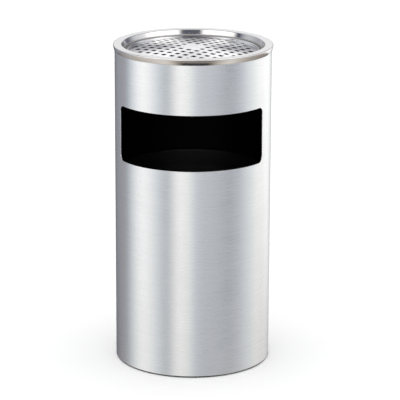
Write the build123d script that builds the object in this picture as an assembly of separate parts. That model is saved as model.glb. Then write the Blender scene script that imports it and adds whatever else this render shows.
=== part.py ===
from build123d import *
import os
from math import atan2, cos, hypot, radians, sin, sqrt, tan

# Ashtray bin: a rolled stainless cylinder with a wide mouth, a lift-off polished
# ash tray with a lift-out sieve on top, and a lift-out bucket with a bail inside.
# Millimetres. The origin is on the floor, on the bin's axis. +Z is up and the
# mouth faces -Y.

# Overall
TOTAL_HEIGHT = 610.0  # floor to the top of the tray's flange
BODY_RADIUS = 147.0  # outside of the rolled shell
NEST_GAP = 0.05  # between pieces that are welded, pressed or riveted together
LIFT_GAP = 0.3  # between curved faces of pieces that lift or swing apart

# Outer shell, its mouth and its hoop
SHELL_SHEET = 1.0
SHELL_STANDOFF = 2.0  # shell's bottom edge above the floor, on its rubber feet
SHELL_HEM = 5.0  # width of the hem turned in at the bottom
SHELL_HEM_RADIUS = 1.0
MOUTH_DROP = 93.4  # shell's top edge down to the mouth's upper edge
MOUTH_HEIGHT = 105.0
MOUTH_HALF_ANGLE = 63.7  # degrees each side of -Y
MOUTH_CORNER = 12.0
HOOP_SHEET = 1.5
HOOP_HEIGHT = 24.0
HOOP_DROP = 1.5  # gap between the hoop and the tray's locating lip

# Ash tray, one spun sheet
TRAY_SHEET = 0.8
TRAY_OVERHANG = 3.0  # rim outside the shell
RIM_ROUND = 1.2  # bend between the skirt and the flange
SKIRT_HEIGHT = 11.6  # flange top down to the shell's top edge
SKIRT_FOOT_OVERHANG = 0.7  # the skirt's foot outside the shell
LOCATING_LIP = 7.0  # depth of the lip that reaches down inside the shell
FLANGE_WIDTH = 15.6
WALL_RUN = 8.4  # how far the dish's sloped wall comes in
WALL_DROP = 15.4  # flange top down to the sieve's seat
SEAT_WIDTH = 6.5
BOWL_RUN = 6.0
BOWL_DEPTH = 33.0  # sieve's seat down to the bowl's floor

# Sieve plate
SIEVE_SHEET = 1.0
SIEVE_GAP = 1.6  # sieve's edge to the foot of the tray's wall
SIEVE_RISE = 6.4  # crown of the domed plate above its edge
SIEVE_FLAT_RADIUS = 12.0  # flat middle of the dome
SIEVE_EDGE_HEIGHT = 5.0  # turned-down edge with its bead
SIEVE_BEAD_WIDTH = 3.2
SIEVE_BEAD_DROP = 2.2
SIEVE_BEAD_SLOPE = 1.4
HOLE_SIDE = 9.0
HOLE_PITCH = 18.0
HOLE_ANGLE = 57.5  # of the square lattice, degrees from +X
HOLE_MARGIN = 1.0  # plain plate left between a hole's corner and the bead
PLAIN_RADIUS = 20.0  # no hole has its centre nearer to the axis

# Base plate and feet
BASE_SHEET = 1.0
BASE_FLANGE = 10.0  # height of the flange turned down onto the shell's hem
BASE_STEP_INSET = 28.0  # feet's circle in to where the plate is pressed down
BASE_STEP = 3.0
FOOT_COUNT = 4
FOOT_RADIUS = 9.5
FOOT_FLARE = 1.0  # the foot is this much wider at the plate
FOOT_GAP = 0.5  # foot's widest part to the edge of the shell's hem
FOOT_RECESS_RADIUS = 5.6
FOOT_RECESS_DEPTH = 6.0
WASHER_RADIUS = 5.2
WASHER_SHEET = 1.0
SCREW_RADIUS = 2.5
SCREW_HEAD_RADIUS = 4.2
SCREW_HEAD_HEIGHT = 2.8
SCREW_SOCKET_RADIUS = 1.6
SCREW_SOCKET_DEPTH = 1.6
SCREW_PROJECTION = 2.0  # screw's end above its nut
NUT_FLATS = 8.0
NUT_HEIGHT = 4.0
HOLE_CLEARANCE = 0.1  # radial, round the screws in the rubber and the plate

# Bucket
BUCKET_SHEET = 0.8
BUCKET_GAP = 20.0  # bucket's wall at the top to the shell's inner face
BUCKET_TAPER = 14.0  # how much smaller the radius is at the bottom
BUCKET_DROP = 26.0  # bucket's rim below the mouth's lower edge
BUCKET_COLLAR = 28.0  # straight part of the wall under the rim
BUCKET_FLOOR_RECESS = 10.0
RIM_WIRE_RADIUS = 1.8
RIM_CURL_ANGLE = 250.0  # degrees that the sheet is curled round the wire
FOOT_RING_SHEET = 1.0
FOOT_RING_HEIGHT = 14.0
FOOT_RING_LIP = 3.0

# Lugs, rivets and bail
LUG_SHEET = 1.5
LUG_HALF_ANGLE = 5.2
LUG_CORNER = 5.0
LUG_BELOW = 24.0  # lug's lower edge under the rim wire
LUG_JOG_LOW = 11.0  # where the lug leaves the wall, under the rim wire
LUG_JOG_HIGH = 6.0
LUG_ABOVE = 7.0  # above the bail's axis
RIVET_RADIUS = 2.0
RIVET_HEAD_RADIUS = 3.6
RIVET_HEAD_HEIGHT = 1.6
RIVET_DROP = 18.0  # below the rim wire
RIVET_HALF_ANGLE = 2.7
BAIL_RADIUS = 2.5  # of the bail's wire
BAIL_PIVOT_CLEARANCE = 0.08  # running fit of the wire in the lug's eye
BAIL_BEND = 4.0
BAIL_SIDE_PLAY = 0.5
BAIL_HEAD_RADIUS = 4.0
BAIL_HEAD_LENGTH = 2.0

# Levels and radii that follow from the sizes above
shell_inner = BODY_RADIUS - SHELL_SHEET
shell_top = TOTAL_HEIGHT - SKIRT_HEIGHT
mouth_top = shell_top - MOUTH_DROP
mouth_bottom = mouth_top - MOUTH_HEIGHT
hem_top = SHELL_STANDOFF + SHELL_SHEET
plate_underside = hem_top + BASE_FLANGE - BASE_SHEET
plate_top = plate_underside + BASE_SHEET
foot_circle = shell_inner - SHELL_HEM - FOOT_GAP - FOOT_RADIUS - FOOT_FLARE
base_step_radius = foot_circle - BASE_STEP_INSET
rim_radius = BODY_RADIUS + TRAY_OVERHANG
seat_top = TOTAL_HEIGHT - WALL_DROP
wall_foot_radius = rim_radius - FLANGE_WIDTH - WALL_RUN
sieve_radius = wall_foot_radius - SIEVE_GAP
bucket_top = mouth_bottom - BUCKET_DROP
bucket_radius = shell_inner - BUCKET_GAP
bucket_foot_radius = bucket_radius - BUCKET_TAPER
curl_radius = RIM_WIRE_RADIUS + NEST_GAP + BUCKET_SHEET / 2  # of the sheet's middle
rim_wire_level = bucket_top - curl_radius - BUCKET_SHEET / 2
rim_wire_circle = bucket_radius - BUCKET_SHEET / 2 + curl_radius
bail_level = bucket_top + LIFT_GAP + BAIL_RADIUS
bail_arc = rim_wire_circle  # the bail lies on the rim when it is down
bail_bend_end = sqrt((bail_arc + BAIL_BEND) ** 2 - BAIL_BEND**2)
ear_inner = bail_bend_end + BAIL_SIDE_PLAY
ear_outer = ear_inner + LUG_SHEET


def sheet_ring(points, radii, thickness, angle=360.0, start=0.0):
    """Sheet of one thickness whose middle follows (radius, height) points, turned about Z."""
    middle = FilletPolyline(*points, radius=radii)
    profile = Plane.XZ * trace(middle, line_width=thickness)
    return Rot(0, 0, start) * revolve(profile, Axis.Z, angle)


def tube(outer, inner, bottom, height):
    """Round tube on the Z axis."""
    ring = Circle(outer) - Circle(inner)
    return Pos(0, 0, bottom) * extrude(ring, height)


def foot_places():
    """Positions of the feet, on the diagonals between the mouth and the sides."""
    step = 360.0 / FOOT_COUNT
    angles = [radians(step * (index + 0.5)) for index in range(FOOT_COUNT)]
    return [Pos(foot_circle * cos(angle), foot_circle * sin(angle), 0) for angle in angles]


def mouth_cutter():
    """Sector block with its four radial edges rounded."""
    inner = BODY_RADIUS / 2
    outer = BODY_RADIUS * 1.2
    outline = Plane.XZ * (Pos((inner + outer) / 2, (mouth_bottom + mouth_top) / 2) * Rectangle(
        outer - inner, MOUTH_HEIGHT))
    block = revolve(outline, Axis.Z, 2 * MOUTH_HALF_ANGLE)
    block = Rot(0, 0, -90.0 - MOUTH_HALF_ANGLE) * block
    corners = [edge for edge in block.edges() if edge.geom_type == GeomType.LINE
               and abs(edge.tangent_at(0).Z) < 0.5]
    return fillet(corners, MOUTH_CORNER)


def outer_shell():
    middle = BODY_RADIUS - SHELL_SHEET / 2
    hem_middle = SHELL_STANDOFF + SHELL_SHEET / 2
    points = [(shell_inner - SHELL_HEM, hem_middle), (middle, hem_middle), (middle, shell_top)]
    return sheet_ring(points, [SHELL_HEM_RADIUS], SHELL_SHEET) - mouth_cutter()


def top_hoop():
    outer = shell_inner - NEST_GAP
    top = shell_top - LOCATING_LIP - HOOP_DROP
    return tube(outer, outer - HOOP_SHEET, top - HOOP_HEIGHT, HOOP_HEIGHT)


def base_plate():
    half = BASE_SHEET / 2
    flange = shell_inner - NEST_GAP - half
    level = plate_underside + half
    hem_bend = SHELL_HEM_RADIUS - SHELL_SHEET / 2
    points = [
        (flange, hem_top + hem_bend),
        (flange, level),
        (base_step_radius + BASE_STEP, level),
        (base_step_radius, level - BASE_STEP),
        (0.0, level - BASE_STEP),
    ]
    plate = sheet_ring(points, [2.0, 1.5, 1.5], BASE_SHEET)
    hole = Pos(0, 0, level) * Cylinder(SCREW_RADIUS + HOLE_CLEARANCE, 4 * BASE_SHEET)
    return plate - [place * hole for place in foot_places()]


def foot():
    """Rubber foot, recessed from below for the screw's head."""
    middle = plate_underside / 2
    body = Pos(0, 0, middle) * Cone(FOOT_RADIUS, FOOT_RADIUS + FOOT_FLARE, plate_underside)
    body = fillet(body.edges().group_by(Axis.Z)[0], 1.0)
    recess = Pos(0, 0, FOOT_RECESS_DEPTH / 2) * Cylinder(FOOT_RECESS_RADIUS, FOOT_RECESS_DEPTH)
    bore = Pos(0, 0, middle) * Cylinder(SCREW_RADIUS + HOLE_CLEARANCE, plate_underside)
    return body - recess - bore


def foot_washer():
    return tube(WASHER_RADIUS, SCREW_RADIUS + HOLE_CLEARANCE, FOOT_RECESS_DEPTH - WASHER_SHEET,
                WASHER_SHEET)


def foot_screw():
    seat = FOOT_RECESS_DEPTH - WASHER_SHEET
    bottom = seat - SCREW_HEAD_HEIGHT
    end = plate_top + NUT_HEIGHT + SCREW_PROJECTION
    head = Pos(0, 0, (bottom + seat) / 2) * Cylinder(SCREW_HEAD_RADIUS, SCREW_HEAD_HEIGHT)
    head = fillet(head.edges().group_by(Axis.Z)[0], 0.8)
    shank = Pos(0, 0, (seat + end) / 2) * Cylinder(SCREW_RADIUS, end - seat)
    shank = chamfer(shank.edges().group_by(Axis.Z)[-1], 0.5)
    socket = Pos(0, 0, bottom) * extrude(RegularPolygon(SCREW_SOCKET_RADIUS, 6), SCREW_SOCKET_DEPTH)
    return head + shank - socket


def foot_nut():
    hexagon = RegularPolygon(NUT_FLATS / 2, 6, major_radius=False)
    outline = hexagon - Circle(SCREW_RADIUS + NEST_GAP)
    return Pos(0, 0, plate_top) * extrude(outline, NUT_HEIGHT)


def ash_tray():
    """One spun sheet: locating lip, skirt, flange, sloped wall, seat and bowl."""
    half = TRAY_SHEET / 2
    lip = shell_inner - LIFT_GAP - half - NEST_GAP
    skirt_foot = BODY_RADIUS + SKIRT_FOOT_OVERHANG - half
    foot_level = shell_top + half
    lean = atan2(TRAY_OVERHANG - SKIRT_FOOT_OVERHANG, SKIRT_HEIGHT)
    rim = rim_radius - half + RIM_ROUND * (tan(lean) + 1 / cos(lean) - 1)
    flange_level = TOTAL_HEIGHT - half
    seat_level = seat_top - half
    bowl_top = wall_foot_radius - SEAT_WIDTH
    bowl_level = seat_level - BOWL_DEPTH
    points = [
        (lip, shell_top - LOCATING_LIP),
        (lip, foot_level),
        (skirt_foot, foot_level),
        (rim, flange_level),
        (rim_radius - FLANGE_WIDTH, flange_level),
        (wall_foot_radius, seat_level),
        (bowl_top, seat_level),
        (bowl_top - BOWL_RUN, bowl_level),
        (0.0, bowl_level),
    ]
    return sheet_ring(points, [0.6, 0.8, RIM_ROUND, 2.5, 1.5, 2.0, 8.0], TRAY_SHEET)


def sieve_blank():
    """Domed disc with a raised bead and a turned-down edge that stands on the tray's seat."""
    half = SIEVE_SHEET / 2
    edge = sieve_radius - half
    bead_top = seat_top + SIEVE_EDGE_HEIGHT - half
    bead_in = edge - SIEVE_BEAD_WIDTH
    dome_edge = (bead_in - SIEVE_BEAD_SLOPE, bead_top - SIEVE_BEAD_DROP)
    crown = dome_edge[1] + SIEVE_RISE
    bead = FilletPolyline((edge, seat_top), (edge, bead_top), (bead_in, bead_top), dome_edge,
                          radius=[1.4, 1.4])
    dome = TangentArc((SIEVE_FLAT_RADIUS, crown), dome_edge, tangent=(1, 0))
    flat = Line((0.0, crown), (SIEVE_FLAT_RADIUS, crown))
    profile = Plane.XZ * trace(bead + dome + flat, line_width=SIEVE_SHEET)
    return revolve(profile, Axis.Z), dome_edge[0]


def sieve_plate():
    blank, plain_edge = sieve_blank()
    reach = plain_edge - HOLE_MARGIN - HOLE_SIDE / sqrt(2)
    count = int(reach / HOLE_PITCH) + 1
    steps = [(index + 0.5) * HOLE_PITCH for index in range(-count, count)]
    places = [(x, y) for x in steps for y in steps if PLAIN_RADIUS < hypot(x, y) < reach]
    punch = Box(HOLE_SIDE, HOLE_SIDE, 40.0)
    punches = [Rot(0, 0, HOLE_ANGLE) * Pos(x, y, seat_top) * punch for x, y in places]
    return blank - punches


def bucket_wall():
    """Tapered sheet, straight under the rim, and curled outwards round the rim wire."""
    half = BUCKET_SHEET / 2
    top = bucket_radius - half
    collar = rim_wire_level - BUCKET_COLLAR
    bottom = plate_top + FOOT_RING_SHEET + NEST_GAP
    wall = FilletPolyline((bucket_foot_radius - half, bottom), (top, collar),
                          (top, rim_wire_level), radius=[40.0])
    curl = CenterArc((rim_wire_circle, rim_wire_level), curl_radius, 180.0, -RIM_CURL_ANGLE)
    profile = Plane.XZ * trace(wall + curl, line_width=BUCKET_SHEET)
    return revolve(profile, Axis.Z) - rivet_shanks(NEST_GAP)


def bucket_rim_wire():
    return revolve(Plane.XZ * Pos(rim_wire_circle, rim_wire_level) * Circle(RIM_WIRE_RADIUS), Axis.Z)


def bucket_floor():
    """Pressed disc with a flange turned down inside the wall."""
    half = BUCKET_SHEET / 2
    flange = bucket_foot_radius - BUCKET_SHEET - NEST_GAP - half
    bottom = plate_top + FOOT_RING_SHEET
    level = bottom + BUCKET_FLOOR_RECESS
    return sheet_ring([(flange, bottom), (flange, level), (0.0, level)], [3.0], BUCKET_SHEET)


def bucket_foot_ring():
    """Band round the bottom of the wall, with a lip that the wall stands on."""
    half = FOOT_RING_SHEET / 2
    inside = bucket_foot_radius + NEST_GAP + half
    wall_height = rim_wire_level - BUCKET_COLLAR - plate_top - FOOT_RING_SHEET
    lean = BUCKET_TAPER / wall_height * FOOT_RING_HEIGHT
    points = [
        (inside - FOOT_RING_LIP, plate_top + half),
        (inside, plate_top + half),
        (inside + lean, plate_top + FOOT_RING_HEIGHT),
    ]
    return sheet_ring(points, [0.0], FOOT_RING_SHEET)


def rivet_places():
    """The lugs' rivets as rotations about Z, two on each side."""
    return [Rot(0, 0, side + offset) for side in (0.0, 180.0)
            for offset in (-RIVET_HALF_ANGLE, RIVET_HALF_ANGLE)]


def rivet_shank(clearance):
    reach = 6.0
    shank = Cylinder(RIVET_RADIUS + clearance, 2 * reach, rotation=(0, 90, 0))
    return Pos(bucket_radius, 0, rim_wire_level - RIVET_DROP) * shank


def rivet_shanks(clearance):
    return [place * rivet_shank(clearance) for place in rivet_places()]


def lug():
    """Ear on the +X side, riveted to the collar and set out past the curled rim."""
    half = LUG_SHEET / 2
    base = bucket_radius + NEST_GAP + half
    ear = ear_inner + half
    top = bail_level + LUG_ABOVE
    points = [
        (base, rim_wire_level - LUG_BELOW),
        (base, rim_wire_level - LUG_JOG_LOW),
        (ear, rim_wire_level - LUG_JOG_HIGH),
        (ear, top),
    ]
    blank = sheet_ring(points, [1.5, 1.5], LUG_SHEET, 2 * LUG_HALF_ANGLE, -LUG_HALF_ANGLE)
    flat = [edge for edge in blank.edges() if edge.geom_type == GeomType.LINE
            and abs(edge.tangent_at(0).Z) < 0.1 and abs(edge.center().Z - top) < 0.1]
    blank = fillet(flat, LUG_CORNER)
    eye = Cylinder(BAIL_RADIUS + BAIL_PIVOT_CLEARANCE, 6 * LUG_SHEET, rotation=(0, 90, 0))
    return blank - Pos(ear, 0, bail_level) * eye - rivet_shanks(NEST_GAP)


def lug_rivet():
    """Rivet on the +X axis: round head on the lug, flat head inside the wall."""
    inner = bucket_radius - BUCKET_SHEET - 2 * NEST_GAP
    outer = bucket_radius + 2 * NEST_GAP + LUG_SHEET
    along = Rot(0, 90, 0)
    shank = Pos((inner + outer) / 2, 0, 0) * along * Cylinder(RIVET_RADIUS, outer - inner)
    round_head = Pos(outer + RIVET_HEAD_HEIGHT / 2, 0, 0) * along * Cylinder(
        RIVET_HEAD_RADIUS, RIVET_HEAD_HEIGHT)
    round_head = fillet(round_head.edges().group_by(Axis.X)[-1], RIVET_HEAD_HEIGHT * 0.8)
    flat_head = Pos(inner - RIVET_HEAD_HEIGHT / 4, 0, 0) * along * Cylinder(
        RIVET_HEAD_RADIUS, RIVET_HEAD_HEIGHT / 2)
    return Pos(0, 0, rim_wire_level - RIVET_DROP) * (shank + round_head + flat_head)


def bail_handle():
    """Round wire lying on the rim towards -Y: a pivot each side, a bend and one arc."""
    share = bail_arc / (bail_arc + BAIL_BEND)
    joint_x = share * bail_bend_end
    joint_y = share * BAIL_BEND
    head_start = ear_outer + LIFT_GAP
    right_pin = Line((head_start, 0, 0), (bail_bend_end, 0, 0))
    right_bend = TangentArc((bail_bend_end, 0, 0), (joint_x, -joint_y, 0), tangent=(-1, 0, 0))
    arc = ThreePointArc((joint_x, -joint_y, 0), (0, -bail_arc, 0), (-joint_x, -joint_y, 0))
    left_bend = TangentArc((-bail_bend_end, 0, 0), (-joint_x, -joint_y, 0), tangent=(1, 0, 0))
    left_pin = Line((-bail_bend_end, 0, 0), (-head_start, 0, 0))
    path = Wire([right_pin, right_bend, arc, left_bend, left_pin])
    wire = sweep(Plane((head_start, 0, 0), z_dir=(-1, 0, 0)) * Circle(BAIL_RADIUS), path)
    head = Rot(0, 90, 0) * Cylinder(BAIL_HEAD_RADIUS, BAIL_HEAD_LENGTH)
    offset = head_start + BAIL_HEAD_LENGTH / 2
    return Pos(0, 0, bail_level) * (wire + Pos(offset, 0, 0) * head + Pos(-offset, 0, 0) * head)


def group(piece, places):
    """The same piece at several places, as separate solids of one node."""
    return Compound(children=[place * piece for place in places])


os.makedirs("parts", exist_ok=True)
nodes = {
    "outer_shell": outer_shell(),
    "top_hoop": top_hoop(),
    "base_plate": base_plate(),
    "foot_washers": group(foot_washer(), foot_places()),
    "foot_screws": group(foot_screw(), foot_places()),
    "foot_nuts": group(foot_nut(), foot_places()),
    "ash_tray": ash_tray(),
    "sieve_plate": sieve_plate(),
    "bucket_wall": bucket_wall(),
    "bucket_floor": bucket_floor(),
    "bucket_foot_ring": bucket_foot_ring(),
    "bucket_rim_wire": bucket_rim_wire(),
    "bucket_lug_right": lug(),
    "bucket_lug_left": mirror(lug(), Plane.YZ),
    "lug_rivets": group(lug_rivet(), rivet_places()),
    "bail_handle": bail_handle(),
}
for index, place in enumerate(foot_places()):
    nodes[f"foot_{index + 1}"] = place * foot()
for name, shape in nodes.items():
    export_step(shape, f"parts/{name}.step")
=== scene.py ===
"""Ashtray bin of stainless sheet: rolled shell with a wide mouth, spun ash tray with a lift-out sieve, and a
lift-out bucket with a bail. Shapes are worked out in millimetres and put into meshes in metres."""

import math

import bpy
import numpy as np
from mathutils import Matrix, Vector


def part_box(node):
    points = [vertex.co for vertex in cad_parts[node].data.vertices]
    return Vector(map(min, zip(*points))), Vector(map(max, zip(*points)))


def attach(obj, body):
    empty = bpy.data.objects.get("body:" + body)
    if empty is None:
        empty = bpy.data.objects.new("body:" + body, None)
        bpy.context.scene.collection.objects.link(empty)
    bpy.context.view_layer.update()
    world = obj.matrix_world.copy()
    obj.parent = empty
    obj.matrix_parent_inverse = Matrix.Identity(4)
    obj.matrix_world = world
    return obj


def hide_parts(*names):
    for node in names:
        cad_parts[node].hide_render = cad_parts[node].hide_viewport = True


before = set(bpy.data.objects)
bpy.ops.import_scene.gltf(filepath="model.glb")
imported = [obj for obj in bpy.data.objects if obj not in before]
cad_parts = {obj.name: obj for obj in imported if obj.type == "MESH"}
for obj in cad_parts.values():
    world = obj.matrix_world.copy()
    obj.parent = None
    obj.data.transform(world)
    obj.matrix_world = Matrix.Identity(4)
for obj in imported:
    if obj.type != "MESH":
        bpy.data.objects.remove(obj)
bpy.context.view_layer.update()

bl_info = {
    "name": "Ashtray bin",
    "version": (1, 0, 0),
    "blender": (4, 5, 0),
    "location": "3D View > Sidebar > Bin",
    "description": "Builds a stainless ashtray bin round its packed frame, and a studio to show it in",
    "category": "Add Mesh",
}

MM = 0.001
BODY_RADIUS = 147.0
SHELL_SHEET = 1.0
SHELL_INNER = BODY_RADIUS - SHELL_SHEET
MOUTH_HALF_ANGLE = math.radians(63.7)
MOUTH_BOTTOM, MOUTH_TOP = 400.0, 505.0


def level(node, end):
    """Height in millimetres of a frame node's lowest (end 0) or highest (end 1) point."""
    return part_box(node)[end].z / MM


def reach(node):
    """Greatest distance in millimetres of a frame node from the axis, along X."""
    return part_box(node)[1].x / MM


# ---------------------------------------------------------------------------
# Shapes. A profile is an array of (radius, height) and one of its outward normals.
# ---------------------------------------------------------------------------

ARC_STEP = math.radians(11.0)  # longest arc between two points of a rounded corner
SMALLEST_BEND = 0.12


def left_of(directions):
    """Directions turned a quarter turn to the left."""
    return np.stack([-directions[..., 1], directions[..., 0]], -1)


def round_corners(corners, radii, closed):
    """Straight runs through the corners with an arc in each corner: positions and left-hand normals.

    A corner's arc starts radius * tan(turn / 2) before it. Its points are the arc's centre less the
    start normal turned by even shares of the corner's turn, and the normals turn with them.
    """
    corners = np.asarray(corners, float)
    count = len(corners)
    places, normals = [], []
    for index in range(count):
        if not closed and index in (0, count - 1):
            along = corners[1] - corners[0] if index == 0 else corners[-1] - corners[-2]
            places.append(corners[index][None])
            normals.append(left_of(along / np.linalg.norm(along))[None])
            continue
        before = corners[index] - corners[index - 1]
        after = corners[(index + 1) % count] - corners[index]
        before, after = before / np.linalg.norm(before), after / np.linalg.norm(after)
        turn = math.atan2(before[0] * after[1] - before[1] * after[0], before @ after)
        steps = max(1, math.ceil(abs(turn) / ARC_STEP)) if abs(turn) > 1e-6 else 0
        angles = turn * np.linspace(0.0, 1.0, steps + 1)
        start = left_of(before)
        turned = np.stack([start[0] * np.cos(angles) - start[1] * np.sin(angles),
                           start[0] * np.sin(angles) + start[1] * np.cos(angles)], -1)
        radius = radii[index]
        side = math.copysign(1.0, turn)
        begin = corners[index] - before * radius * math.tan(abs(turn) / 2)
        places.append(begin + side * radius * (start - turned))
        normals.append(turned)
    return np.concatenate(places), np.concatenate(normals)


def sheet_profile(middle, bends, sheet, edge):
    """Outline of a sheet whose middle runs through the given (radius, height) points.

    Each side lies half a sheet off the middle, so a bend is half a sheet tighter on its inner side and
    wider on its outer side. Free ends have both corners eased by edge. A middle that ends on the axis
    leaves the outline open there.
    """
    middle = np.asarray(middle, float)
    half = sheet / 2
    along = np.diff(middle, axis=0)
    along /= np.linalg.norm(along, axis=1)[:, None]
    left = left_of(along)
    turn = np.sign(along[:-1, 0] * along[1:, 1] - along[:-1, 1] * along[1:, 0])
    mitre = (left[:-1] + left[1:]) / (1 + np.sum(along[:-1] * along[1:], axis=1))[:, None]
    mitre = np.concatenate([left[:1], mitre, left[-1:]])
    bends = np.asarray(bends, float)
    sides = [(middle + sign * half * mitre,
              np.concatenate([[edge], np.maximum(bends - sign * turn * half, SMALLEST_BEND), [edge]]))
             for sign in (-1, 1)]
    corners = np.concatenate([sides[0][0][::-1], sides[1][0]])
    radii = np.concatenate([sides[0][1][::-1], sides[1][1]])
    on_axis = middle[-1, 0] < 1e-9
    places, normals = round_corners(corners, radii, not on_axis)
    return places, normals, not on_axis


def ring_angles(count):
    """Even azimuths round the axis, from the back; 0 is at the front and a quarter turn is at +X."""
    return np.linspace(-math.pi, math.pi, count, endpoint=False)


def grid_faces(rows, columns, wrap_rows, wrap_columns):
    """Corner numbers of a grid's four-sided faces: row, next row, next column."""
    row = np.arange(rows if wrap_rows else rows - 1)
    column = np.arange(columns if wrap_columns else columns - 1)
    row, column = np.meshgrid(row, column, indexing="ij")
    next_row, next_column = (row + 1) % rows, (column + 1) % columns
    faces = [row * columns + column, next_row * columns + column,
             next_row * columns + next_column, row * columns + next_column]
    return np.stack(faces, -1).reshape(-1, 4)


def turned(places, normals, angles):
    """Profile turned about the axis: x = r sin(a), y = -r cos(a), z = height, row by row."""
    sine, cosine = np.sin(angles)[None], np.cos(angles)[None]

    def swing(values):
        radial, up = values[:, :1], values[:, 1:] + 0 * sine
        return np.stack([radial * sine, -radial * cosine, up], -1).reshape(-1, 3)

    return swing(places), swing(normals)


def lathe(profile, angles):
    """Surface of a profile turned about the axis, as (points, normals, faces)."""
    places, normals, closed = profile
    points, outward = turned(places, normals, angles)
    return points, outward, grid_faces(len(places), len(angles), closed, True)


def joined(surfaces):
    """Several surfaces as one."""
    starts = np.cumsum([0] + [len(points) for points, _, _ in surfaces[:-1]])
    return (np.concatenate([points for points, _, _ in surfaces]),
            np.concatenate([normals for _, normals, _ in surfaces]),
            np.concatenate([faces + start for (_, _, faces), start in zip(surfaces, starts)]))


def make_piece(name, surface, material, body, slot, *stands_for):
    """Welds a surface's equal points, checks that it is closed, and makes it an object on a body.

    Points that no face uses are left out. Points are equal when they agree to a thousandth of a
    millimetre. A face with two equal corners becomes a triangle, and one with fewer than three corners
    is dropped.
    """
    points, normals, faces = surface
    used, faces = np.unique(faces, return_inverse=True)
    points, normals, faces = points[used], normals[used], faces.reshape(-1, 4)
    _, first, same = np.unique(np.round(points, 3), axis=0, return_index=True, return_inverse=True)
    same = same.reshape(-1)
    outward = np.zeros((len(first), 3))
    np.add.at(outward, same, normals)
    outward /= np.maximum(np.linalg.norm(outward, axis=1), 1e-9)[:, None]
    faces = same[faces]
    keep = faces != np.roll(faces, -1, axis=1)
    kept = keep.sum(axis=1)
    whole, cut = faces[kept == 4], faces[kept == 3][keep[kept == 3]].reshape(-1, 3)
    edges = np.concatenate([np.stack([part, np.roll(part, -1, axis=1)], -1).reshape(-1, 2)
                            for part in (whole, cut)])
    order = len(first)
    out, back = edges[:, 0] * order + edges[:, 1], edges[:, 1] * order + edges[:, 0]
    if len(np.unique(out)) != len(out) or not np.array_equal(np.sort(out), np.sort(back)):
        raise RuntimeError(f"{name} isn't a closed surface")
    corners = np.concatenate([whole.ravel(), cut.ravel()])
    sizes = np.concatenate([np.full(len(whole), 4), np.full(len(cut), 3)])
    mesh = bpy.data.meshes.new(name)
    mesh.vertices.add(order)
    mesh.vertices.foreach_set("co", (points[first] * MM).astype(np.float32).ravel())
    mesh.loops.add(len(corners))
    mesh.loops.foreach_set("vertex_index", corners.astype(np.int32))
    mesh.polygons.add(len(sizes))
    mesh.polygons.foreach_set("loop_start", (np.cumsum(sizes) - sizes).astype(np.int32))
    mesh.polygons.foreach_set("use_smooth", np.ones(len(sizes), bool))
    mesh.update(calc_edges=True)
    mesh.normals_split_custom_set_from_vertices(outward.tolist())
    mesh.materials.append(material)
    piece = bpy.data.objects.new(name, mesh)
    bpy.context.scene.collection.objects.link(piece)
    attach(piece, body)
    if stands_for:
        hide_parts(*stands_for)
    return piece


# ---------------------------------------------------------------------------
# Materials
# ---------------------------------------------------------------------------

TIMES = {"operation": "MULTIPLY"}
COLOURED = {"data_type": "RGBA"}
SPUN = {"Anisotropic Rotation": 0.25}  # lights are drawn out across the circular lines


def linear(code):
    """sRGB hex colour as linear red, green and blue."""
    srgb = np.array([int(code[at:at + 2], 16) for at in (1, 3, 5)]) / 255.0
    return tuple(np.where(srgb <= 0.04045, srgb / 12.92, ((srgb + 0.055) / 1.055) ** 2.4).tolist())


def add(tree, kind, inputs, output=0, **settings):
    """Adds a shader node. Inputs are values or sockets to link, in order, or by name or number. Returns
    an output socket, or the node if it has none."""
    made = tree.nodes.new("ShaderNode" + kind)
    for key, value in settings.items():
        setattr(made, key, value)
    for key, value in inputs.items() if isinstance(inputs, dict) else enumerate(inputs):
        if isinstance(value, bpy.types.NodeSocket):
            tree.links.new(value, made.inputs[key])
        else:
            made.inputs[key].default_value = value
    return made.outputs[output] if made.outputs else made


def mask(tree, *ranges):
    """Product of values that are each carried from one range to another and held at the ends."""
    whole, *others = [add(tree, "MapRange", each) for each in ranges]
    for other in others:
        whole = add(tree, "Math", (whole, other), **TIMES)
    return whole


def new_material(name):
    """Empty material and its tree."""
    material = bpy.data.materials.new(name)
    material.use_nodes = True
    material.node_tree.nodes.clear()
    return material, material.node_tree


def shade(material, inputs):
    """Puts a Principled shader with these inputs on the material's output."""
    tree = material.node_tree
    add(tree, "OutputMaterial", {"Surface": add(tree, "BsdfPrincipled", inputs)})
    return material


def cells(tree, millimetres, detail):
    """Noise whose cells measure so many millimetres along each axis."""
    place = add(tree, "TexCoord", {}, "Object")
    place = add(tree, "Mapping", {"Vector": place, "Scale": [1 / (MM * size) for size in millimetres]})
    return add(tree, "TexNoise", {"Vector": place, "Scale": 1.0, "Detail": detail})


def radius_from_axis(tree):
    """Distance from the bin's axis, and height, both in metres."""
    place = add(tree, "TexCoord", {}, "Object")
    flat = add(tree, "VectorMath", (place, (1, 1, 0)), **TIMES)
    radius = add(tree, "VectorMath", (flat,), "Value", operation="LENGTH")
    return radius, add(tree, "SeparateXYZ", (place,), "Z")


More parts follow.
